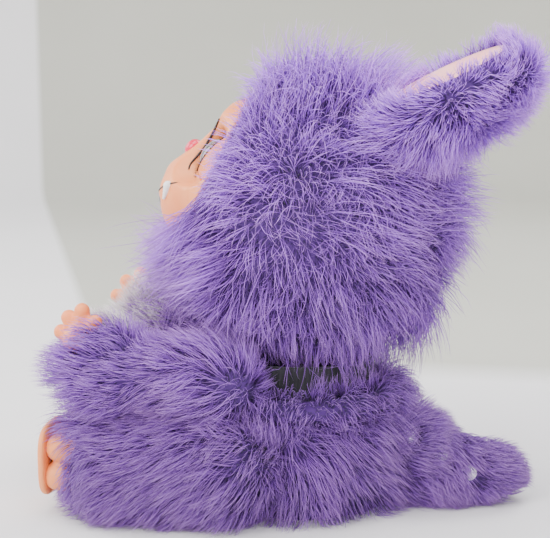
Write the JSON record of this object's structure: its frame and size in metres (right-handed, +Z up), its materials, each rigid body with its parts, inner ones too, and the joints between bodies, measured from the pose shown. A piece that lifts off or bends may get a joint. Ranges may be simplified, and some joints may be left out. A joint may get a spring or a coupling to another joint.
{
  "type": "interactive plush pet",
  "caption": "Seated plush toy animal with long pile, a moulded face, satin-lined ears and a motor-driven head on a battery case.",
  "frame": {"origin": "centre of the bounding box at floor height", "axes": "+Z up, the pet faces -Y, its own left side is +X"},
  "size_m": [0.18, 0.267, 0.2641],
  "materials": {
    "plush_pile": "long two-tone purple pile",
    "face_vinyl": "soft satin vinyl with a faint bloom",
    "foot_vinyl": "soft satin vinyl",
    "nose_gloss": "glossy moulded",
    "ear_satin": "satin weave",
    "knit_black": "ribbed knit",
    "eye_gloss": "clear gloss over a printed iris",
    "lid_vinyl": "satin",
    "tooth_white": "gloss",
    "mouth_slate": "soft moulded",
    "case_plastic": "moulded, fine spark texture",
    "gear_nylon": "moulded nylon",
    "steel": "plain steel",
    "contact_metal": "nickel-plated spring",
    "board_green": "solder mask",
    "cell_wrap": "printed sleeve",
    "stud_metal": "polished"
  },
  "bodies": {
    "torso": {"battery_cells": "cell_wrap", "battery_contacts": "contact_metal", "battery_door": "case_plastic", "battery_door_screw": "steel", "battery_tray": "case_plastic", "body_fur": "plush_pile", "circuit_board": "board_green", "foot_left": "foot_vinyl", "foot_right": "foot_vinyl", "leg_fur_left": "plush_pile", "leg_fur_right": "plush_pile", "neck_bearing": "gear_nylon", "neck_collar": "knit_black", "power_switch": "case_plastic", "speaker": "case_plastic", "tail_fur": "plush_pile", "tail_studs": "stud_metal", "torso_screws": "steel", "torso_shell_back": "case_plastic", "torso_shell_front": "case_plastic"},
    "power_slider": {"power_slider": "case_plastic"},
    "arm_left": {"arm_fur_left": "plush_pile", "hand_left": "face_vinyl", "shoulder_disc_left": "case_plastic"},
    "arm_right": {"arm_fur_right": "plush_pile", "hand_right": "face_vinyl", "shoulder_disc_right": "case_plastic"},
    "neck": {"neck_post": "case_plastic"},
    "head": {"skull_front": "case_plastic", "skull_back": "case_plastic", "skull_screws": "steel", "face_mask": "face_vinyl", "head_fur": "plush_pile", "eyeball_left": "eye_gloss", "eyeball_right": "eye_gloss", "upper_teeth": "tooth_white", "mouth_roof": "mouth_slate", "drive_chassis": "case_plastic", "drive_motor": "steel", "neck_pin": "steel", "jaw_pin": "steel"},
    "jaw": {"lower_jaw": "face_vinyl", "tongue": "mouth_slate"},
    "eyelids": {"eyelid_left": "lid_vinyl", "eyelid_right": "lid_vinyl", "eyelid_shaft": "steel"},
    "ear_left": {"ear_fur_left": "plush_pile", "ear_lining_left": "ear_satin", "ear_lever_left": "case_plastic"},
    "ear_right": {"ear_fur_right": "plush_pile", "ear_lining_right": "ear_satin", "ear_lever_right": "case_plastic"},
    "cam": {"cam_gear": "gear_nylon", "cam_shaft": "steel"},
    "pinion": {"motor_pinion": "gear_nylon"},
    "nose": {"nose_button": "nose_gloss"}
  },
  "joints": [
    {"name": "neck_turn", "type": "hinge", "parent": "torso", "child": "neck", "pos_m": [0, 0.011, 0.06], "axis": [0, 0, 1], "range_deg": [-20, 20]},
    {"name": "head_nod", "type": "hinge", "parent": "neck", "child": "head", "pos_m": [0, 0.011, 0.118], "axis": [1, 0, 0], "range_deg": [-8, 11]},
    {"name": "jaw_open", "type": "hinge", "parent": "head", "child": "jaw", "pos_m": [0, -0.03953, 0.16279], "axis": [1, 0, 0], "range_deg": [0, 18]},
    {"name": "eyelid_blink", "type": "hinge", "parent": "head", "child": "eyelids", "pos_m": [0, -0.03384, 0.19769], "axis": [1, 0, 0], "range_deg": [0, 90]},
    {"name": "ear_left_swing", "type": "hinge", "parent": "head", "child": "ear_left", "pos_m": [0.035, 0.059, 0.2114], "axis": [1, 0, 0], "range_deg": [-12, 12]},
    {"name": "ear_right_swing", "type": "hinge", "parent": "head", "child": "ear_right", "pos_m": [-0.035, 0.059, 0.2114], "axis": [1, 0, 0], "range_deg": [-12, 12]},
    {"name": "cam_spin", "type": "hinge", "parent": "head", "child": "cam", "pos_m": [0, 0.00962, 0.18023], "axis": [1, 0, 0], "continuous": true},
    {"name": "pinion_spin", "type": "hinge", "parent": "head", "child": "pinion", "pos_m": [0, -0.0022, 0.1651], "axis": [1, 0, 0], "continuous": true},
    {"name": "nose_press", "type": "slide", "parent": "head", "child": "nose", "axis": [0, 0.788, -0.6157], "range_m": [0, 0.0015], "stiffness_N_per_m": 400, "springref_m": -0.001},
    {"name": "arm_left_swing", "type": "hinge", "parent": "torso", "child": "arm_left", "pos_m": [0.059, -0.027, 0.078], "axis": [-1, 0, 0], "range_deg": [0, 16]},
    {"name": "arm_right_swing", "type": "hinge", "parent": "torso", "child": "arm_right", "pos_m": [-0.059, -0.027, 0.078], "axis": [-1, 0, 0], "range_deg": [0, 16]},
    {"name": "power_slide", "type": "slide", "parent": "torso", "child": "power_slider", "axis": [1, 0, 0], "range_m": [0, 0.003]}
  ],
  "couplings": [
    {"joint": "pinion_spin", "follows": "cam_spin", "ratio": -3},
    {"joint": "ear_right_swing", "follows": "ear_left_swing", "ratio": 1}
  ]
}
